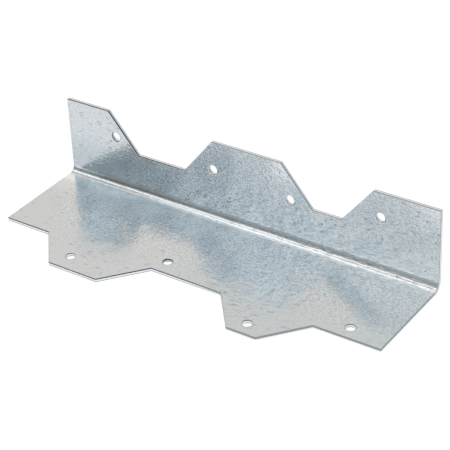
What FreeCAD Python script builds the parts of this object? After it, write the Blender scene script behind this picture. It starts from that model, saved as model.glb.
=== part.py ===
import FreeCAD, Part
import os
from math import asin, pi

import Sketcher
from FreeCAD import Placement, Rotation, Vector

# Reinforcing angle: one blank of galvanised sheet, folded once along its length.
# The blank's two long edges are the same sheared zigzag, so blanks nest in the strip:
# where the upright has a notch the flange has a tab, with the same flanks.
# X runs along the fold, Z is up, and the upright's back faces +Y.
# The origin is on the underside, at the middle of the angle's length and depth.

SIZES = (
    # The folded section
    ("flange_width", "63.5"),
    ("upright_height", "36.5"),
    ("sheet_thickness", "1.5"),
    ("bend_radius", "3.0"),
    # The zigzag, from the left end of the upright to its right end
    ("left_tab", "21.8"),
    ("left_notch", "23.6"),
    ("middle_tab", "33.0"),
    ("right_notch", "13.2"),
    ("right_tab", "29.0"),
    ("flank_run", "14.3"),
    ("notch_depth", "17.5"),
    # The sheared edges: corners in the outline, and the roll on the punched side
    ("corner_radius", "0.4"),
    ("edge_roll", "0.3"),
    # The nail holes
    ("nail_hole", "4.2"),
    ("hole_roll_width", "0.5"),
    ("hole_roll_depth", "0.2"),
    # Upright: how far each hole is along from the end of a flank, and below the tabs' top
    ("upright_first_along", "3.2"),
    ("upright_first_down", "11.5"),
    ("upright_second_along", "0.2"),
    ("upright_second_down", "13.0"),
    ("upright_third_along", "4.0"),
    ("upright_third_down", "16.0"),
    ("upright_fourth_along", "3.2"),
    ("upright_fourth_down", "11.0"),
    # Flange: how far each hole is along from the end of a flank, and in from the edge beside it
    ("flange_first_along", "4.9"),
    ("flange_first_in", "8.0"),
    ("flange_second_along", "3.0"),
    ("flange_second_in", "7.0"),
    ("flange_third_along", "5.7"),
    ("flange_third_in", "6.0"),
    ("flange_fourth_along", "12.7"),
    ("flange_fourth_in", "6.0"),
)

doc = FreeCAD.newDocument("reinforcing_angle")
sizes = doc.addObject("Spreadsheet::Sheet", "sizes")
for row, (alias, number) in enumerate(SIZES, start=1):
    sizes.set("A%d" % row, alias)
    sizes.set("B%d" % row, number)
    sizes.setAlias("B%d" % row, alias)
doc.recompute()


def size(alias):
    return float(sizes.get(alias))


def total(*aliases):
    return " + ".join("sizes." + alias for alias in aliases)


# The ends of the flanks, counted from the left end: station 1 is where the left tab ends
STEPS = ("left_tab", "flank_run", "left_notch", "flank_run", "middle_tab",
         "flank_run", "right_notch", "flank_run", "right_tab")
STATION = {n: total(*STEPS[:n]) for n in range(1, len(STEPS) + 1)}
LENGTH = STATION[len(STEPS)]

body = doc.addObject("PartDesign::Body", "angle")
body.Label = "reinforcing_angle"

# Every sketch starts from the corner where the underside, the back and an end of the angle meet
HALF_TURN_SIDE = Rotation(Vector(0, 1, 0), 180)
HALF_TURN_OVER = Rotation(Vector(1, 0, 0), 180)


def new_sketch(name, role, turn, offsets):
    plane = [f for f in body.Origin.OriginFeatures if f.Role == role][0]
    sketch = body.newObject("Sketcher::SketchObject", name)
    sketch.AttachmentSupport = [(plane, "")]
    sketch.MapMode = "FlatFace"
    sketch.AttachmentOffset = Placement(Vector(0, 0, 0), turn)
    for axis, expression in offsets.items():
        sketch.setExpression("AttachmentOffset.Base." + axis, expression)
    doc.recompute()
    return sketch


def dimension(sketch, name, expression, kind, *where):
    """A named dimension of the sketch, driven by the sheet."""
    value = sketch.evalExpression(expression)
    index = sketch.addConstraint(Sketcher.Constraint(kind, *where, float(value)))
    sketch.renameConstraint(index, name)
    sketch.setExpression("Constraints." + name, expression)


def closed_lines(sketch, points):
    """Lines through the points and back to the first, joined end to end."""
    count = len(points)
    lines = []
    for n in range(count):
        a, b = Vector(*points[n], 0), Vector(*points[(n + 1) % count], 0)
        lines.append(sketch.addGeometry(Part.LineSegment(a, b)))
    for n in range(count):
        sketch.addConstraint(Sketcher.Constraint("Coincident", lines[n], 2, lines[(n + 1) % count], 1))
    return lines


def finish(feature, removes=None):
    """Recomputes a feature, which has to take material away or add it as it says."""
    before = body.Shape.Volume if removes is not None else 0.0
    doc.recompute()
    change = feature.Shape.Volume - before
    if (removes is None and change <= 0) or (removes is not None and change >= 0):
        raise RuntimeError("%s leaves the solid as it was" % feature.Name)


# The section: two legs of one sheet, with concentric arcs round the bend
section = new_sketch("section", "YZ_Plane", HALF_TURN_SIDE,
                     {"x": "sizes.flange_width / 2", "z": "(%s) / 2" % LENGTH})
width, height, sheet, inside = (size("flange_width"), size("upright_height"),
                                size("sheet_thickness"), size("bend_radius"))
outside = inside + sheet
bend = Vector(outside, outside, 0)
NORMAL = Vector(0, 0, 1)
QUARTER = (pi, 3 * pi / 2)
under = section.addGeometry(Part.LineSegment(Vector(outside, 0, 0), Vector(width, 0, 0)))
lip = section.addGeometry(Part.LineSegment(Vector(width, 0, 0), Vector(width, sheet, 0)))
over = section.addGeometry(Part.LineSegment(Vector(width, sheet, 0), Vector(outside, sheet, 0)))
inner = section.addGeometry(Part.ArcOfCircle(Part.Circle(bend, NORMAL, inside), *QUARTER))
front = section.addGeometry(Part.LineSegment(Vector(sheet, outside, 0), Vector(sheet, height, 0)))
top = section.addGeometry(Part.LineSegment(Vector(sheet, height, 0), Vector(0, height, 0)))
back = section.addGeometry(Part.LineSegment(Vector(0, height, 0), Vector(0, outside, 0)))
outer = section.addGeometry(Part.ArcOfCircle(Part.Circle(bend, NORMAL, outside), *QUARTER))
section.addConstraint([
    Sketcher.Constraint("Coincident", under, 2, lip, 1),
    Sketcher.Constraint("Coincident", lip, 2, over, 1),
    Sketcher.Constraint("Tangent", over, 2, inner, 2),
    Sketcher.Constraint("Tangent", inner, 1, front, 1),
    Sketcher.Constraint("Coincident", front, 2, top, 1),
    Sketcher.Constraint("Coincident", top, 2, back, 1),
    Sketcher.Constraint("Tangent", back, 2, outer, 1),
    Sketcher.Constraint("Tangent", outer, 2, under, 1),
    Sketcher.Constraint("Coincident", inner, 3, outer, 3),
    Sketcher.Constraint("Horizontal", under),
    Sketcher.Constraint("Vertical", lip),
    Sketcher.Constraint("Horizontal", over),
    Sketcher.Constraint("Vertical", front),
    Sketcher.Constraint("Horizontal", top),
    Sketcher.Constraint("Vertical", back),
    Sketcher.Constraint("PointOnObject", under, 2, -1),
    Sketcher.Constraint("PointOnObject", back, 1, -2),
])
dimension(section, "flange", "sizes.flange_width", "DistanceX", -1, 1, under, 2)
dimension(section, "upright", "sizes.upright_height", "DistanceY", -1, 1, back, 1)
dimension(section, "sheet", "sizes.sheet_thickness", "DistanceX", top, 2, top, 1)
dimension(section, "bend", "sizes.bend_radius", "Radius", inner)

folded = body.newObject("PartDesign::Pad", "folded_sheet")
folded.Profile = section
folded.setExpression("Length", LENGTH)
finish(folded)


def notch(sketch, tag, stations, edge):
    """A notch with two flanks, open past the leg's edge."""
    first, second, third, fourth = (sketch.evalExpression(s) for s in stations)
    full, depth = sketch.evalExpression(edge), size("notch_depth")
    left, foot, right, side, beyond, other = closed_lines(sketch, (
        (first, full), (second, full - depth), (third, full - depth), (fourth, full),
        (fourth, full + depth), (first, full + depth)))
    sketch.addConstraint([
        Sketcher.Constraint("Horizontal", foot),
        Sketcher.Constraint("Vertical", side),
        Sketcher.Constraint("Horizontal", beyond),
        Sketcher.Constraint("Vertical", other),
        Sketcher.Constraint("Horizontal", left, 1, right, 2),
    ])
    dimension(sketch, tag + "_starts", stations[0], "DistanceX", -1, 1, left, 1)
    dimension(sketch, tag + "_foot_starts", stations[1], "DistanceX", -1, 1, foot, 1)
    dimension(sketch, tag + "_foot_ends", stations[2], "DistanceX", -1, 1, foot, 2)
    dimension(sketch, tag + "_ends", stations[3], "DistanceX", -1, 1, right, 2)
    dimension(sketch, tag + "_edge", edge, "DistanceY", -1, 1, left, 1)
    dimension(sketch, tag + "_depth", "sizes.notch_depth", "DistanceY", foot, 1, left, 1)
    dimension(sketch, tag + "_clear", "sizes.notch_depth", "DistanceY", other, 2, other, 1)


def end_cut(sketch, tag, foot_station, edge_station, end, edge):
    """The cut-back at an end of the leg: one flank, open past the edge and past the end."""
    foot_x, edge_x = sketch.evalExpression(foot_station), sketch.evalExpression(edge_station)
    full, depth = sketch.evalExpression(edge), size("notch_depth")
    left_end = end is None
    end_x = -depth if left_end else sketch.evalExpression(end) + depth
    flank, side, beyond, past, foot = closed_lines(sketch, (
        (foot_x, full - depth), (edge_x, full), (edge_x, full + depth),
        (end_x, full + depth), (end_x, full - depth)))
    sketch.addConstraint([
        Sketcher.Constraint("Vertical", side),
        Sketcher.Constraint("Horizontal", beyond),
        Sketcher.Constraint("Vertical", past),
        Sketcher.Constraint("Horizontal", foot),
    ])
    dimension(sketch, tag + "_foot", foot_station, "DistanceX", -1, 1, flank, 1)
    dimension(sketch, tag + "_flank", edge_station, "DistanceX", -1, 1, flank, 2)
    dimension(sketch, tag + "_edge", edge, "DistanceY", -1, 1, flank, 2)
    dimension(sketch, tag + "_depth", "sizes.notch_depth", "DistanceY", flank, 1, flank, 2)
    dimension(sketch, tag + "_clear", "sizes.notch_depth", "DistanceY", side, 1, side, 2)
    if left_end:
        dimension(sketch, tag + "_past", "sizes.notch_depth", "DistanceX", past, 1, -1, 1)
    else:
        dimension(sketch, tag + "_past", end + " + sizes.notch_depth", "DistanceX", -1, 1, past, 1)


def cut(name, sketch):
    """Cuts a sketch through one leg: the sketches face away from the leg that they cut."""
    pocket = body.newObject("PartDesign::Pocket", name)
    pocket.Profile = sketch
    pocket.Type = "ThroughAll"
    finish(pocket, removes=True)
    return pocket


ALONG = "-(%s) / 2" % LENGTH

# The zigzag along the upright's top: a notch on each side of the middle tab
upright_edge = new_sketch("upright_edge", "XZ_Plane", Rotation(), {"x": ALONG})
notch(upright_edge, "left", [STATION[n] for n in (1, 2, 3, 4)], "sizes.upright_height")
notch(upright_edge, "right", [STATION[n] for n in (5, 6, 7, 8)], "sizes.upright_height")
cut("upright_notches", upright_edge)

# The same zigzag along the flange, where the tabs and notches change places
flange_edge = new_sketch("flange_edge", "XY_Plane", HALF_TURN_OVER,
                         {"x": ALONG, "y": "sizes.flange_width / 2"})
end_cut(flange_edge, "left", STATION[1], STATION[2], None, "sizes.flange_width")
notch(flange_edge, "middle", [STATION[n] for n in (3, 4, 5, 6)], "sizes.flange_width")
end_cut(flange_edge, "right", STATION[8], STATION[7], LENGTH, "sizes.flange_width")
zigzag = cut("flange_notches", flange_edge)


def edge_names(shape, wanted):
    return ["Edge%d" % n for n, edge in enumerate(shape.Edges, start=1) if wanted(edge)]


def is_corner(edge):
    """A corner of the outline is an edge straight through the sheet."""
    if not isinstance(edge.Curve, Part.Line):
        return False
    along = edge.tangentAt(edge.FirstParameter)
    through = abs(along.y) > 0.999 or abs(along.z) > 0.999
    return through and abs(edge.Length - size("sheet_thickness")) < 1e-4


def inner_faces(shape):
    """The faces on the inside of the angle: the upright's front, the flange's top and the bend."""
    front_y = size("flange_width") / 2 - size("sheet_thickness")
    top_z = size("sheet_thickness")
    found = []
    for face in shape.Faces:
        surface = face.Surface
        middle = face.CenterOfMass
        if isinstance(surface, Part.Plane):
            normal = face.normalAt(0, 0)
            on_front = normal.y < -0.999 and abs(middle.y - front_y) < 1e-4
            on_top = normal.z > 0.999 and abs(middle.z - top_z) < 1e-4
            if on_front or on_top:
                found.append(face)
        elif isinstance(surface, Part.Cylinder) and abs(surface.Axis.x) > 0.999:
            if abs(surface.Radius - size("bend_radius")) < 1e-4:
                found.append(face)
    return found


def round_edges(name, base, names, radius):
    fillet = body.newObject("PartDesign::Fillet", name)
    fillet.Base = (base, names)
    fillet.setExpression("Radius", radius)
    doc.recompute()
    return fillet


corners = round_edges("outline_corners", zigzag, edge_names(zigzag.Shape, is_corner),
                      "sizes.corner_radius")

# The roll of the shear runs round the whole edge on the inside, also across the bend at each end
inside_edges = [edge for face in inner_faces(corners.Shape) for edge in face.Edges]


def is_rim(edge):
    return sum(edge.isSame(other) for other in inside_edges) == 1


rolled = round_edges("sheared_edge", corners, edge_names(corners.Shape, is_rim), "sizes.edge_roll")


def punch(name, role, turn, offsets):
    """A nail hole, turned about its own axis: a straight wall with a soft roll where the punch went in."""
    radius, sheet_through = size("nail_hole") / 2, size("sheet_thickness")
    roll, depth = size("hole_roll_width"), size("hole_roll_depth")
    sketch = new_sketch(name + "_section", role, turn, offsets)
    above, below = sheet_through, -2 * sheet_through
    curve = (roll * roll + depth * depth) / (2 * depth)
    cover = sketch.addGeometry(Part.LineSegment(Vector(0, above, 0), Vector(radius + roll, above, 0)))
    mouth = sketch.addGeometry(Part.LineSegment(Vector(radius + roll, above, 0), Vector(radius + roll, 0, 0)))
    round_edge = Part.Circle(Vector(radius + roll, -curve, 0), NORMAL, curve)
    rim = sketch.addGeometry(Part.ArcOfCircle(round_edge, pi / 2, pi / 2 + asin(roll / curve)))
    wall = sketch.addGeometry(Part.LineSegment(Vector(radius, -depth, 0), Vector(radius, below, 0)))
    base = sketch.addGeometry(Part.LineSegment(Vector(radius, below, 0), Vector(0, below, 0)))
    core = sketch.addGeometry(Part.LineSegment(Vector(0, below, 0), Vector(0, above, 0)))
    sketch.addConstraint([
        Sketcher.Constraint("Coincident", cover, 2, mouth, 1),
        Sketcher.Constraint("Coincident", mouth, 2, rim, 1),
        Sketcher.Constraint("Coincident", rim, 2, wall, 1),
        Sketcher.Constraint("Coincident", wall, 2, base, 1),
        Sketcher.Constraint("Coincident", base, 2, core, 1),
        Sketcher.Constraint("Coincident", core, 2, cover, 1),
        Sketcher.Constraint("Horizontal", cover),
        Sketcher.Constraint("Vertical", mouth),
        Sketcher.Constraint("Vertical", wall),
        Sketcher.Constraint("Horizontal", base),
        Sketcher.Constraint("PointOnObject", core, 1, -2),
        Sketcher.Constraint("PointOnObject", core, 2, -2),
        Sketcher.Constraint("PointOnObject", rim, 1, -1),
        Sketcher.Constraint("Vertical", rim, 1, rim, 3),
    ])
    dimension(sketch, "hole_radius", "sizes.nail_hole / 2", "DistanceX", base, 2, base, 1)
    dimension(sketch, "roll_width", "sizes.hole_roll_width", "DistanceX", rim, 2, rim, 1)
    dimension(sketch, "roll_depth", "sizes.hole_roll_depth", "DistanceY", rim, 2, rim, 1)
    dimension(sketch, "clear_above", "sizes.sheet_thickness", "DistanceY", mouth, 2, mouth, 1)
    dimension(sketch, "clear_below", "2 * sizes.sheet_thickness", "DistanceY", wall, 2, rim, 1)
    hole = body.newObject("PartDesign::Groove", name)
    hole.Profile = sketch
    hole.ReferenceAxis = (sketch, ["V_Axis"])
    hole.Angle = 360
    finish(hole, removes=True)
    return hole


# The nails of the upright go in from the front, at places counted from a flank and from the tabs' top
for order, station in (("first", 1), ("second", 4), ("third", 5), ("fourth", 8)):
    tag = "upright_" + order
    punch(tag + "_hole", "XY_Plane", HALF_TURN_OVER, {
        "x": "%s + %s + sizes.%s_along" % (ALONG, STATION[station], tag),
        "y": "sizes.flange_width / 2 - sizes.sheet_thickness",
        "z": "sizes.upright_height - sizes.%s_down" % tag,
    })

# The nails of the flange go in from above: two in its tabs and two beside its notches
for order, station, edge in (("first", 2, "0"), ("second", 4, "sizes.notch_depth"),
                             ("third", 6, "0"), ("fourth", 8, "sizes.notch_depth")):
    tag = "flange_" + order
    last = punch(tag + "_hole", "XZ_Plane", Rotation(), {
        "x": "%s + %s + sizes.%s_along" % (ALONG, STATION[station], tag),
        "y": "sizes.sheet_thickness",
        "z": "sizes.flange_width / 2 - %s - sizes.%s_in" % (edge, tag),
    })
body.Tip = last
doc.recompute()

for item in doc.Objects:
    if "Invalid" in item.State or "Error" in item.State:
        raise RuntimeError("%s did not compute: %s" % (item.Name, item.State))
solid = body.Shape
if solid.isNull() or not solid.isValid() or len(solid.Solids) != 1:
    raise RuntimeError("the angle is not one valid solid")

os.makedirs("parts", exist_ok=True)
solid.exportStep(os.path.join("parts", body.Label + ".step"))
box = solid.BoundBox
print("%s: %.3f x %.3f x %.3f mm, %.1f mm3, %d faces" % (
    body.Label, box.XLength, box.YLength, box.ZLength, solid.Volume, len(solid.Faces)))
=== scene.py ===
from math import cos, radians, sin

import bpy
from mathutils import Matrix, Vector


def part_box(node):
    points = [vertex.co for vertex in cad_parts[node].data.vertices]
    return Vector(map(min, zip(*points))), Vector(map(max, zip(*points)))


# A reinforcing angle of folded galvanised sheet, on the white floor of a soft studio.
# Lengths are in metres in the part's frame: X along the fold, Z up, the upright's back at +Y.

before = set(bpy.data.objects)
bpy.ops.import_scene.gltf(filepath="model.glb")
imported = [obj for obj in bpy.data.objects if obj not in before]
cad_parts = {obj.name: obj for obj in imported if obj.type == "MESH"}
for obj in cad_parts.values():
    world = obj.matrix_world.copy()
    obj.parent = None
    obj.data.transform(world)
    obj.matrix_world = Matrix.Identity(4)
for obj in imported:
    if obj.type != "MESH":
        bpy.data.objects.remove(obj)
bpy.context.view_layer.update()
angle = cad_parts["reinforcing_angle"]
low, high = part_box("reinforcing_angle")

scene = bpy.context.scene
scene.view_settings.view_transform = "Standard"

MM = 0.001
SHEET = 1.5 * MM
BEND_INSIDE = 3.0 * MM

# Where the legs run into the bend, and how softly one look gives way to the other there
BEND_TOP = low.z + SHEET + BEND_INSIDE
BEND_FRONT = high.y - SHEET - BEND_INSIDE
BEND_SOFT = 0.1 * MM

# How far the upright leans back as it springs open after folding, as a slope, how far at its left end, and
# where along the fold, in millimetres, the one gives way to the other
LEAN = 0.014
LEFT_LEAN = 0.085
LEAN_SPAN = (-70, -35)

# Where the look of the sheet's right sets in, and that of its left tab, in millimetres along the fold
RIGHT_SPAN = (-30, 40)
LEFT_TAB_SPAN = (-50, -62)

# The flange's nail hole with painted shadow high on its wall, the two on its right, and how far from its
# middle a hole's look reaches
SHADOWED_HOLES = ((-11.9, -7.25),)
RIGHT_HOLES = ((38.1, -25.75), (72.6, -8.25))
HOLE_REACH = (3.2, 2.9)

# Streaks of painted shade aslant on the flange, which paint the dark edge of the upright's reflection there:
# where each starts, and how strong it is. They fade to either side of a middle line, and in and out along
# it.
SHADE_STREAKS = ((51.0, 13.5, 0.30), (-12.0, 12.9, 0.14))
STREAK_ALONG = (0.848, -0.53, 0.0)
STREAK_BESIDE = (0.53, 0.848, 0.0)
STREAK_MIDDLE = 2.5 * MM
STREAK_WIDE = (7.0, 1.5)
STREAK_IN = (-12, 0)
STREAK_OUT = (38, 20)

# Widths of the patches in the zinc's relief, and how far the rolls turned and drew them out along the fold
FLECK_WIDE = 1.25 * MM
GRAIN_WIDE = 0.7 * MM
CREASE_WIDE = 2.3 * MM
SWAY_WIDE = 13 * MM
DRAWN_TURN = radians(5)
DRAWN_SCALE = (0.66, 1.35, 0.0)

# How tall the relief stands, in millimetres
FLECK_TALL = 0.044
FLECK_LESS_RIGHT = 0.014
GRAIN_TALL = 0.025
SWAY_TALL = 0.20
PIT_DEEP = 0.02
PIT_DEEPER_UPRIGHT = 0.03

# The creases on the right are taller low on the upright, between these heights, and less tall on the flange
CREASE_TALL = 0.05
CREASE_TALL_LOW = 0.17
CREASE_LOW_SPAN = (30, 12)
CREASE_LESS_FLANGE = 0.25
CREASE_TWIST = 0.5

# What share of the relief the tool flattens in the fold, and how far from its middle in millimetres
FLATTENED = 0.45
FLATTENED_SPAN = (6.0, 3.5)

# The pits' cells and the raggedness of their outlines, in millimetres
PIT_APART = 3.3
PIT_RAGGED = 1.1
PIT_SHIFT = (1.4, 1.4, 0.0)

# How far a pit reaches in its cell, the chance that the cell holds one, and how faint it is on the outside
PIT_REACH = (0.27, 0.05)
PIT_CHANCE = (0.45, 0.9)
PIT_LIKELIER_UPRIGHT = 0.14
PIT_OUTSIDE = 0.45

# The spangle's strength from the flange's front to its back, what is taken off on the left tab and the
# right, its share everywhere, and what the flange adds to that share at its left end and past it
SPANGLE_SPAN = (-14, 10)
SPANGLE_FRONT = 0.20
SPANGLE_BACK = 1.15
SPANGLE_LESS_LEFT_TAB = 0.45
SPANGLE_LESS_RIGHT = 0.15
SPANGLE_ALL = 0.9
FLANGE_LEFT_SPAN = (-82, -62)
SPANGLE_FLANGE_LEFT = -0.55
SPANGLE_FLANGE = 0.7

# What the spangle is mixed from, and how far the mixture spreads
FLECK_SHARE = 0.4
GRAIN_SHARE = 0.6
MOTTLE_SPAN = (0.33, 0.67)

# How dark the pits are
STAIN = 0.38
STAIN_MORE_UPRIGHT = 0.32
STAIN_LESS_LEFT_TAB = 0.25
STAIN_LESS_RIGHT = 0.4

# Shares of the painted shade and painted light: darker, lighter and duller
DARK_LOW_LEFT = 0.26
DARK_LEFT_TAB = 0.05
LIGHT_MIDDLE = 0.38
LIGHT_BY_FOLD = 0.33
SHADE_FLANGE = 0.08

# Where that painted shade and light set in, in millimetres along the fold, up the upright or back over the
# flange
DARK_LEFT_SPAN = (-20, -44)
DARK_LOW_SPAN = (24, 10)
LIGHT_MIDDLE_SPAN = (-14, 6)
LIGHT_RIGHT_SPAN = (62, 34)
LIGHT_LOW_SPAN = (26, 12)
LIGHT_LEFT_SPAN = (10, -20)
LIGHT_BACK_SPAN = (9, 22)
SHADE_RIGHT_SPAN = (-25, 15)

# Edges of the two strips inside the fold, the painted shade and the painted highlight, from its middle and
# negative towards the flange. Plain numbers are in millimetres.
FOLD_SHADE_STARTS = (-1.5, -1.1)
FOLD_SHADE_ENDS = (4.6, 1.2)
FOLD_SHADE_SHORTER = 0.9 * MM
FOLD_SHADE_DARKENS = (-0.7, 0.8)
FOLD_HIGHLIGHT_STARTS = (-4.8 * MM, -10 * MM)
FOLD_HIGHLIGHT_FULL = (-3.3 * MM, -5.5 * MM)
FOLD_HIGHLIGHT_ENDS = (-1.1, -1.5)
FOLD_HIGHLIGHT_PALES = (-2.0, -3.4)

# Where along the fold the strips change towards its left end
FOLD_SHADE_SPAN = (-55, -20)
FOLD_SHADE_FADES = (-92, -64)
FOLD_HIGHLIGHT_WIDENS = (-40, -62)
FOLD_HIGHLIGHT_DULLS = (-24, -70)

# Bands through the sheet, as shares of its thickness from the outside of the angle
LIP_BAND = (0.26, 0.14)
SHADED_EDGE_BAND = (0.40, 0.26)
ROLL_BAND = (0.60, 0.72)
FLANK_ROLL_BAND = (0.42, 0.54)
HOLE_SHADOW_BAND = (0.30, 0.45)
INNER_HALF = (0.3, 0.7)
INNER_SKIN = (0.93, 0.97)

# How squarely a cut face and a roll's two sides face through the sheet, and how far a flank faces right
CUT_FACES = (0.25, 0.05)
ROLL_STARTS = (0.85, 0.55)
ROLL_ENDS = (0.02, 0.08)
FLANK_FACES = (0.3, 0.6)

# Where along the fold the flange's edge gets painted shade and the painted shade in the upright's roll is
# paler, and how near the right end counts as its end face
SHADED_EDGE_SPAN = (-2, 26)
PALE_ROLL_SPAN = (-40, -20)
END_FACE = (0.6 * MM, 0.3 * MM)

# How metallic the sheet is, and its roughness, which changes with the grain and is more on the cut
METAL_SHARE = 0.7
GRAIN_SPAN = (0.3, 0.7)
ROUGH_FROM = 0.11
ROUGH_TO = 0.15
ROUGHER_CUT = 0.16


def grey(red, green, blue):
    return (red, green, blue, 1.0)


# Zinc as it comes off the galvanising line, with its pits, and painted shade and painted light on stretches
# of it
ZINC_LIGHT = grey(0.80, 0.82, 0.845)
ZINC_DARK = grey(0.585, 0.605, 0.63)
PIT = grey(0.22, 0.24, 0.26)
PAINTED_SHADE = grey(0.20, 0.31, 0.37)
PAINTED_LIGHT = grey(0.97, 0.97, 0.975)

# Painted shade in the upper part of the fold's inside, and a painted highlight below it towards the flange
FOLD_DULL = grey(0.54, 0.555, 0.57)
FOLD_DARK = grey(0.32, 0.31, 0.28)
FOLD_MID = grey(0.345, 0.34, 0.315)
FOLD_BRIGHT = grey(0.90, 0.90, 0.905)
FOLD_LEFT = grey(0.56, 0.57, 0.58)

# Steel that the shear leaves on the edges, whose dull grey is also painted shade on the flange's right
# edges, and the painted shade in their roll
CUT_BRIGHT = grey(0.88, 0.90, 0.93)
DULL_CUT_AND_SHADE = grey(0.30, 0.30, 0.305)
ROLL = grey(0.08, 0.08, 0.085)

# The floor's paint, and the two shares that the camera and the metal see: an even white and a shadow on it
FLOOR_PAINT = grey(0.9, 0.9, 0.9)
FLOOR_SHADED = grey(0.13, 0.13, 0.13)
FLOOR_GLOW = 0.92
FLOOR_HALF = 4.0
FLOOR_GAP = 0.1 * MM
WHITE = grey(1, 1, 1)

# The studio's lights: degrees round from the front and up, the angles from there at which each is still full
# and has faded out, and its colour. The places were set one by one. The colours began as a fit to the
# photograph, and most were changed later.
LIGHTS = (
    # Overhead, and the one that draws the bright line along the fold
    (75, 72, 16, 36, (0.27, 0.27, 0.27)),
    (58, 55, 8, 14, (1.78, 1.70, 1.67)),
    # A softbox in front, and smaller glows below it
    (8, 54, 20, 29, (0.49, 0.56, 0.58)),
    (22, 34, 5, 13, (0.97, 0.90, 0.71)),
    (31, 31, 3, 8, (0.35, 0.44, 0.56)),
    (42, 38, 3, 8, (0.62, 0.84, 0.94)),
    (28, 12, 6, 20, (0.25, 0.32, 0.38)),
    # The pale wall behind, and what stands to the right, to the left and behind on the right
    (140, 38, 22, 52, (0.87, 0.83, 0.77)),
    (-20, 0, 20, 60, (0.60, 0.68, 0.74)),
    (-65, 38, 30, 65, (0.70, 0.82, 0.84)),
    (96, 20, 8, 24, (0.27, 0.27, 0.27)),
    (222, 22, 20, 50, (0.62, 0.62, 0.62)),
)

# Where the camera stands, which way it looks and how it is rolled, and its lens in millimetres, all fitted
# to the photograph's outline
CAMERA_AT = Vector((0.32648, -0.44107, 0.36755))
CAMERA_AZIMUTH = radians(35.514)
CAMERA_ELEVATION = radians(32.504)
CAMERA_ROLL = radians(-2.761)
CAMERA_SENSOR = 36.0
CAMERA_LENS = 133.165


class Graph:
    """Adds nodes to one node tree and joins their sockets."""

    # The Mix node's colour sockets, which have the same names as those for numbers and vectors
    MIX_A = 6
    MIX_B = 7
    MIXED = 2

    def __init__(self, tree):
        self.tree = tree
        tree.nodes.clear()

    def put(self, value, socket):
        """Joins a socket's value to another socket, or sets a plain value on it."""
        if isinstance(value, bpy.types.NodeSocket):
            self.tree.links.new(value, socket)
        else:
            socket.default_value = value

    def node(self, kind, inputs=None, **settings):
        made = self.tree.nodes.new(kind)
        for name, value in settings.items():
            setattr(made, name, value)
        for name, value in (inputs or {}).items():
            self.put(value, made.inputs[name])
        return made

    def math(self, operation, a, b=0.0):
        return self.node("ShaderNodeMath", {0: a, 1: b}, operation=operation).outputs[0]

    def product(self, first, *others):
        for other in others:
            first = self.math("MULTIPLY", first, other)
        return first

    def most(self, first, *others):
        for other in others:
            first = self.math("MAXIMUM", first, other)
        return first

    def line(self, value, slope, start):
        """The start, plus the value times the slope."""
        return self.math("ADD", self.math("MULTIPLY", value, slope), start)

    def less(self, start, value, slope=1.0):
        """The start, less the value times the slope."""
        return self.math("SUBTRACT", start, self.math("MULTIPLY", value, slope))

    def vector(self, operation, a, b, output="Vector"):
        return self.node("ShaderNodeVectorMath", {0: a, 1: b}, operation=operation).outputs[output]

    def ramp(self, value, start, end, low=0.0, high=1.0):
        """A smooth change from low to high while the value goes from start to end."""
        inputs = {"Value": value, "From Min": start, "From Max": end, "To Min": low, "To Max": high}
        return self.node("ShaderNodeMapRange", inputs, interpolation_type="SMOOTHSTEP").outputs["Result"]

    def ramp_mm(self, value, start, end, low=0.0, high=1.0):
        """A ramp along a length, whose start and end are in millimetres."""
        return self.ramp(value, start * MM, end * MM, low, high)

    def mix(self, share, a, b):
        """Colour a where the share is 0 and b where it is 1."""
        made = self.node("ShaderNodeMix", data_type="RGBA")
        self.put(share, made.inputs["Factor"])
        self.put(a, made.inputs[self.MIX_A])
        self.put(b, made.inputs[self.MIX_B])
        return made.outputs[self.MIXED]

    def noise(self, where, size, detail, distortion=0.0):
        """Noise whose patches are about as wide as the given length, from 0 to 1."""
        inputs = {"Vector": where, "Scale": MM / size, "Detail": detail, "Distortion": distortion}
        return self.node("ShaderNodeTexNoise", inputs, noise_dimensions="2D").outputs["Fac"]


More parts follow.
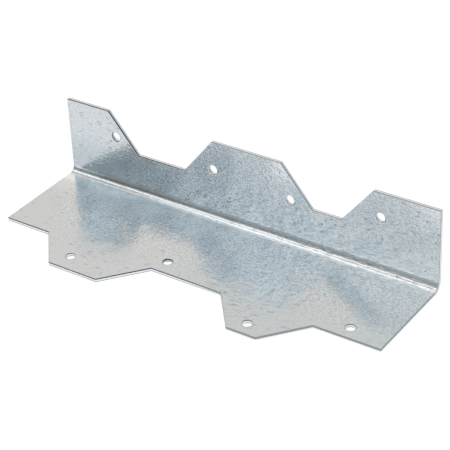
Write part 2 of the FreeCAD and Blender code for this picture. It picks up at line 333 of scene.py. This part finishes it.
class Sheet:
    """Where a point of the folded sheet lies, and what its relief, its colour and its edges share."""

    def __init__(self, tree):
        g = Graph(tree)
        self.g = g
        coordinates = g.node("ShaderNodeTexCoord").outputs
        self.point = coordinates["Object"]
        self.x, self.y, self.z = g.node("ShaderNodeSeparateXYZ", {0: self.point}).outputs
        normal = g.node("ShaderNodeSeparateXYZ", {0: coordinates["Normal"]}).outputs
        self.normal_x, normal_y, normal_z = normal

        # The unfolded sheet's own coordinates, in millimetres: along the fold, and across it
        across = g.math("ADD", self.z, self.y)
        flat = g.node("ShaderNodeCombineXYZ", {"X": self.x, "Y": across}).outputs[0]
        self.flat = g.vector("MULTIPLY", flat, (1 / MM, 1 / MM, 0.0))
        turn = {"Vector": self.flat, "Angle": DRAWN_TURN}
        turned = g.node("ShaderNodeVectorRotate", turn, rotation_type="Z_AXIS").outputs[0]
        self.drawn = g.vector("MULTIPLY", turned, DRAWN_SCALE)

        # Which leg and which end a point is on, and how far it lies above the middle of the fold
        self.on_flange = g.ramp(self.y, BEND_FRONT + BEND_SOFT, BEND_FRONT)
        self.on_upright = g.ramp(self.z, BEND_TOP - BEND_SOFT, BEND_TOP)
        self.right = g.ramp_mm(self.x, *RIGHT_SPAN)
        self.left_tab = g.product(self.on_upright, g.ramp_mm(self.x, *LEFT_TAB_SPAN))
        self.above = g.math("SUBTRACT", across, BEND_FRONT + BEND_TOP)

        # How squarely the surface faces through the sheet: 1 on the zinc, 0 on a cut face, between on a roll
        faces_y = g.product(g.math("POWER", normal_y, 2.0), g.less(1.0, self.on_flange))
        faces_z = g.product(g.math("POWER", normal_z, 2.0), g.less(1.0, self.on_upright))
        self.through = g.math("ADD", faces_y, faces_z)
        self.cut = g.ramp(self.through, *CUT_FACES)

        # How deep in the sheet a point is, from 0 on the outside of the angle to 1 on its inside
        behind = g.math("MAXIMUM", g.math("SUBTRACT", self.y, BEND_FRONT), 0.0)
        beneath = g.math("MAXIMUM", g.math("SUBTRACT", BEND_TOP, self.z), 0.0)
        outward = g.node("ShaderNodeCombineXYZ", {"Y": behind, "Z": beneath}).outputs[0]
        length = g.vector("LENGTH", outward, (0, 0, 0), "Value")
        self.depth = g.math("MULTIPLY", g.math("SUBTRACT", BEND_INSIDE + SHEET, length), 1 / SHEET)
        self.inner = g.ramp(self.depth, *INNER_HALF)

        self.fleck = g.noise(self.drawn, FLECK_WIDE, detail=1.0)
        self.grain = g.noise(self.drawn, GRAIN_WIDE, detail=0.0)
        self.pit = self.pits()

    def pits(self):
        """Soft pits: some of the cells hold one, more on the upright and fewer on the angle's outside."""
        g = self.g
        rag = {"Vector": self.flat, "Scale": 1 / PIT_RAGGED, "Detail": 0.0}
        rag = g.node("ShaderNodeTexNoise", rag, noise_dimensions="2D").outputs["Color"]
        ragged = g.vector("ADD", self.drawn, g.vector("MULTIPLY", rag, PIT_SHIFT))
        cells = {"Vector": ragged, "Scale": 1 / PIT_APART}
        cell = g.node("ShaderNodeTexVoronoi", cells, voronoi_dimensions="2D").outputs
        chance = g.node("ShaderNodeSeparateColor", {0: cell["Color"]}).outputs["Red"]
        chance = g.line(self.on_upright, PIT_LIKELIER_UPRIGHT, chance)
        near = g.ramp(cell["Distance"], *PIT_REACH)
        fainter = g.ramp(self.depth, *INNER_HALF, PIT_OUTSIDE, 1.0)
        return g.product(near, g.ramp(chance, *PIT_CHANCE), fainter)

    def relief(self):
        """The zinc's bumps, flatter in the fold, its slow sway and its pits, and the lean of the upright."""
        g = self.g
        crease = g.noise(self.drawn, CREASE_WIDE, detail=0.0, distortion=CREASE_TWIST)
        sway = g.noise(self.flat, SWAY_WIDE, detail=1.0)
        creased = g.product(g.ramp_mm(self.z, *CREASE_LOW_SPAN, CREASE_TALL, CREASE_TALL_LOW), self.right)
        creased = g.product(creased, g.less(1.0, self.on_flange, CREASE_LESS_FLANGE))
        flecked = g.less(FLECK_TALL, self.right, FLECK_LESS_RIGHT)
        height = 0.0
        for bumps, tall in ((self.fleck, flecked), (crease, creased), (self.grain, GRAIN_TALL)):
            height = g.line(g.math("SUBTRACT", bumps, 0.5), tall, height)
        in_fold = g.ramp_mm(g.math("ABSOLUTE", self.above), *FLATTENED_SPAN)
        height = g.product(height, g.less(1.0, in_fold, FLATTENED))
        height = g.line(sway, SWAY_TALL, height)
        height = g.less(height, self.pit, g.line(self.on_upright, PIT_DEEPER_UPRIGHT, PIT_DEEP))
        rise = g.math("MAXIMUM", g.math("SUBTRACT", self.z, BEND_TOP), 0.0)
        height = g.less(height, rise, g.ramp_mm(self.x, *LEAN_SPAN, LEFT_LEAN / MM, LEAN / MM))
        return g.node("ShaderNodeBump", {"Strength": 1.0, "Distance": MM, "Height": height}).outputs[0]

    def spangled(self):
        """Zinc with its pits and its spangle, which shows less towards the flange's front edge."""
        g = self.g
        contrast = g.ramp_mm(self.y, *SPANGLE_SPAN, SPANGLE_FRONT, SPANGLE_BACK)
        contrast = g.less(contrast, self.left_tab, SPANGLE_LESS_LEFT_TAB)
        contrast = g.product(contrast, g.less(1.0, self.right, SPANGLE_LESS_RIGHT))
        flange = g.ramp_mm(self.x, *FLANGE_LEFT_SPAN, SPANGLE_FLANGE_LEFT, SPANGLE_FLANGE)
        contrast = g.product(contrast, g.line(self.on_flange, flange, SPANGLE_ALL))
        mottle = g.line(self.fleck, FLECK_SHARE, g.math("MULTIPLY", self.grain, GRAIN_SHARE))
        spangle = g.line(g.math("SUBTRACT", g.ramp(mottle, *MOTTLE_SPAN), 0.5), contrast, 0.5)
        zinc = g.mix(spangle, ZINC_DARK, ZINC_LIGHT)
        stain = g.line(self.on_upright, STAIN_MORE_UPRIGHT, STAIN)
        stain = g.less(stain, self.left_tab, STAIN_LESS_LEFT_TAB)
        stain = g.product(stain, g.less(1.0, self.right, STAIN_LESS_RIGHT))
        return g.mix(g.product(self.pit, stain), zinc, PIT)

    def painted_light_and_shade(self, zinc):
        """Zinc with painted shade and painted light in stretches on the inside of the angle."""
        g = self.g

        # Painted shade low on the upright's left
        low_left = g.product(g.ramp_mm(self.x, *DARK_LEFT_SPAN), g.ramp_mm(self.z, *DARK_LOW_SPAN))
        darker = g.product(self.on_upright, low_left, DARK_LOW_LEFT)
        darker = g.line(self.left_tab, DARK_LEFT_TAB, darker)
        zinc = g.mix(g.product(self.inner, darker), zinc, PAINTED_SHADE)

        # Painted light from the upright's middle tab to its low right, and along the fold on the flange's
        # left
        low_right = g.most(g.ramp_mm(self.x, *LIGHT_RIGHT_SPAN), g.ramp_mm(self.z, *LIGHT_LOW_SPAN))
        middle = g.product(self.on_upright, g.ramp_mm(self.x, *LIGHT_MIDDLE_SPAN), low_right)
        left_back = g.product(g.ramp_mm(self.x, *LIGHT_LEFT_SPAN), g.ramp_mm(self.y, *LIGHT_BACK_SPAN))
        by_fold = g.product(self.on_flange, left_back)
        lighter = g.line(middle, LIGHT_MIDDLE, g.math("MULTIPLY", by_fold, LIGHT_BY_FOLD))
        zinc = g.mix(g.product(self.inner, lighter), zinc, PAINTED_LIGHT)

        # Painted shade, a little on the flange's right, most of all along the streaks
        flange_shade = g.math("MULTIPLY", g.ramp_mm(self.x, *SHADE_RIGHT_SPAN), SHADE_FLANGE)
        for x, y, share in SHADE_STREAKS:
            offset = g.vector("SUBTRACT", self.point, (x * MM, y * MM, 0.0))
            along = g.vector("DOT_PRODUCT", offset, STREAK_ALONG, "Value")
            beside = g.vector("DOT_PRODUCT", offset, STREAK_BESIDE, "Value")
            beside = g.math("ABSOLUTE", g.math("SUBTRACT", beside, STREAK_MIDDLE))
            ends = g.product(g.ramp_mm(along, *STREAK_IN), g.ramp_mm(along, *STREAK_OUT))
            flange_shade = g.line(g.product(g.ramp_mm(beside, *STREAK_WIDE), ends), share, flange_shade)
        return g.mix(g.product(self.on_flange, self.inner, flange_shade), zinc, PAINTED_SHADE)

    def folded(self, zinc):
        """Zinc with painted light and shade inside the fold: a painted highlight along the flange, and
        painted shade above that.
        """
        g = self.g
        inside = g.ramp(self.depth, *INNER_SKIN)

        # The strip of painted shade fades out at the left end and reaches less far up past it
        past_left = g.ramp_mm(self.x, *FOLD_SHADE_SPAN)
        reach = g.line(past_left, FOLD_SHADE_SHORTER, self.above)
        upper = g.product(g.ramp_mm(self.above, *FOLD_SHADE_STARTS), g.ramp_mm(reach, *FOLD_SHADE_ENDS))
        upper = g.product(upper, g.ramp_mm(self.x, *FOLD_SHADE_FADES))
        dark = g.mix(past_left, FOLD_DARK, FOLD_MID)
        fold_shade = g.mix(g.ramp_mm(self.above, *FOLD_SHADE_DARKENS), FOLD_DULL, dark)
        zinc = g.mix(g.product(inside, upper), zinc, fold_shade)

        # The painted highlight is wider at the left end, where it is duller by the fold and paler beyond
        starts = g.ramp_mm(self.x, *FOLD_HIGHLIGHT_WIDENS, *FOLD_HIGHLIGHT_STARTS)
        full = g.ramp_mm(self.x, *FOLD_HIGHLIGHT_WIDENS, *FOLD_HIGHLIGHT_FULL)
        lower = g.product(g.ramp(self.above, starts, full), g.ramp_mm(self.above, *FOLD_HIGHLIGHT_ENDS))
        left_end = g.mix(g.ramp_mm(self.above, *FOLD_HIGHLIGHT_PALES), FOLD_LEFT, PAINTED_LIGHT)
        fold_highlight = g.mix(g.ramp_mm(self.x, *FOLD_HIGHLIGHT_DULLS), FOLD_BRIGHT, left_end)
        return g.mix(g.product(inside, lower), zinc, fold_highlight)

    def by_holes(self, holes):
        """1 at the wall and rim of any of these nail holes, and 0 away from them."""
        g = self.g
        share = 0.0
        for x, y in holes:
            centre = (x * MM, y * MM, 0.5 * SHEET)
            from_hole = g.vector("DISTANCE", self.point, centre, "Value")
            share = g.most(g.ramp_mm(from_hole, *HOLE_REACH), share)
        return share

    def edged(self, zinc):
        """Zinc with the sheared edges, and how far a point is in the painted shade on their roll."""
        g = self.g

        # Bright with a dull lip, and the other way round along the right of the flange, where that grey is
        # painted shade
        shaded_edge = g.ramp_mm(g.product(self.x, self.on_flange), *SHADED_EDGE_SPAN)
        shaded_edge = g.less(shaded_edge, shaded_edge, self.by_holes(RIGHT_HOLES))
        bright = g.mix(g.ramp(self.depth, *LIP_BAND), CUT_BRIGHT, DULL_CUT_AND_SHADE)
        dull = g.mix(g.ramp(self.depth, *SHADED_EDGE_BAND), DULL_CUT_AND_SHADE, CUT_BRIGHT)
        colour = g.mix(self.cut, zinc, g.mix(shaded_edge, bright, dull))

        # The roll's painted shade goes deeper on the flanks that face right, short of the end, and is
        # painted shadow in one hole
        end = g.ramp(self.x, *(high.x - inset for inset in END_FACE))
        lip = g.product(g.ramp(self.through, *ROLL_STARTS), g.ramp(self.through, *ROLL_ENDS))
        inner_cut = g.product(self.cut, g.ramp(self.depth, *ROLL_BAND))
        flank = g.product(self.cut, self.on_upright, g.ramp(self.normal_x, *FLANK_FACES), g.less(1.0, end))
        flank = g.product(flank, g.ramp(self.depth, *FLANK_ROLL_BAND))
        hole_shadow = g.product(self.cut, self.by_holes(SHADOWED_HOLES), g.ramp(self.depth, *HOLE_SHADOW_BAND))
        roll_shade = g.most(lip, inner_cut, flank, hole_shadow)

        # The painted shade is dark on the left, and no darker than the dull steel on the right and where the
        # edge is shaded
        pale = g.product(self.on_upright, g.ramp_mm(self.x, *PALE_ROLL_SPAN))
        pale = g.most(pale, shaded_edge, end)
        return g.mix(roll_shade, colour, g.mix(pale, ROLL, DULL_CUT_AND_SHADE)), roll_shade


def galvanised_sheet():
    """Zinc with a flattened spangle, small pits and a rolled sway, painted light and shade, and sheared
    steel on the edges.
    """
    material = bpy.data.materials.new("galvanised_sheet")
    material.use_nodes = True
    sheet = Sheet(material.node_tree)
    g = sheet.g
    colour, roll_shade = sheet.edged(sheet.folded(sheet.painted_light_and_shade(sheet.spangled())))
    roughness = g.ramp(sheet.grain, *GRAIN_SPAN, ROUGH_FROM, ROUGH_TO)
    roughness = g.line(g.most(sheet.cut, roll_shade), ROUGHER_CUT, roughness)
    shader = g.node("ShaderNodeBsdfPrincipled", {
        "Base Color": colour, "Metallic": METAL_SHARE, "Roughness": roughness, "Normal": sheet.relief()})
    g.node("ShaderNodeOutputMaterial", {"Surface": shader.outputs[0]})
    return material


def white_floor():
    """A large plain floor that the camera and the metal see as white, and that is clear from below."""
    mesh = bpy.data.meshes.new("floor")
    corners = [(x * FLOOR_HALF, y * FLOOR_HALF, -FLOOR_GAP) for x, y in ((-1, -1), (1, -1), (1, 1), (-1, 1))]
    mesh.from_pydata(corners, [], [(0, 1, 2, 3)])
    floor = bpy.data.objects.new("floor", mesh)
    scene.collection.objects.link(floor)

    material = bpy.data.materials.new("white_floor")
    material.use_nodes = True
    g = Graph(material.node_tree)
    path = g.node("ShaderNodeLightPath").outputs
    seen = g.most(path["Is Camera Ray"], path["Is Glossy Ray"], path["Is Transmission Ray"])
    paint = g.node("ShaderNodeBsdfDiffuse", {"Color": FLOOR_PAINT}).outputs[0]
    shaded = g.node("ShaderNodeBsdfDiffuse", {"Color": FLOOR_SHADED}).outputs[0]
    glow = g.node("ShaderNodeEmission", {"Color": WHITE, "Strength": FLOOR_GLOW}).outputs[0]
    white = g.node("ShaderNodeAddShader", {0: glow, 1: shaded}).outputs[0]
    top = g.node("ShaderNodeMixShader", {0: seen, 1: paint, 2: white}).outputs[0]
    below = g.node("ShaderNodeNewGeometry").outputs["Backfacing"]
    clear = g.node("ShaderNodeBsdfTransparent").outputs[0]
    both = g.node("ShaderNodeMixShader", {0: below, 1: top, 2: clear}).outputs[0]
    g.node("ShaderNodeOutputMaterial", {"Surface": both})
    mesh.materials.append(material)


def facing(azimuth, elevation):
    """A direction, by degrees round from the front (-Y) towards the left (-X), and degrees up."""
    a = radians(azimuth)
    e = radians(elevation)
    return Vector((-sin(a) * cos(e), -cos(a) * cos(e), sin(e)))


def studio():
    """Soft lights all round, which the metal and the floor see, in a world that is white to the camera."""
    world = bpy.data.worlds.new("studio")
    world.use_nodes = True
    scene.world = world
    g = Graph(world.node_tree)
    direction = g.node("ShaderNodeTexCoord").outputs["Generated"]
    total = (0.0, 0.0, 0.0)
    for azimuth, elevation, full, faded, colour in LIGHTS:
        toward = g.vector("DOT_PRODUCT", direction, facing(azimuth, elevation), "Value")
        share = g.ramp(toward, cos(radians(faded)), cos(radians(full)))
        tint = g.node("ShaderNodeVectorMath", {0: colour, "Scale": share}, operation="SCALE").outputs[0]
        total = g.vector("ADD", tint, total)
    room = g.node("ShaderNodeBackground", {"Color": total, "Strength": 1.0}).outputs[0]
    white = g.node("ShaderNodeBackground", {"Color": WHITE, "Strength": 1.0}).outputs[0]
    path = g.node("ShaderNodeLightPath").outputs
    seen = g.most(path["Is Camera Ray"], path["Is Transmission Ray"])
    both = g.node("ShaderNodeMixShader", {0: seen, 1: room, 2: white}).outputs[0]
    g.node("ShaderNodeOutputWorld", {"Surface": both})


def camera():
    """The photograph's view."""
    forward = Vector((-sin(CAMERA_AZIMUTH) * cos(CAMERA_ELEVATION),
                      cos(CAMERA_AZIMUTH) * cos(CAMERA_ELEVATION),
                      -sin(CAMERA_ELEVATION)))
    level = forward.cross(Vector((0, 0, 1))).normalized()
    upright = level.cross(forward)
    right = level * cos(CAMERA_ROLL) + upright * sin(CAMERA_ROLL)
    up = upright * cos(CAMERA_ROLL) - level * sin(CAMERA_ROLL)
    data = bpy.data.cameras.new("camera")
    data.sensor_width = CAMERA_SENSOR
    data.lens = CAMERA_LENS
    made = bpy.data.objects.new("camera", data)
    made.matrix_world = Matrix((right, up, -forward)).transposed().to_4x4()
    made.location = CAMERA_AT
    scene.collection.objects.link(made)
    scene.camera = made


angle.data.materials[0] = galvanised_sheet()
white_floor()
studio()
camera()
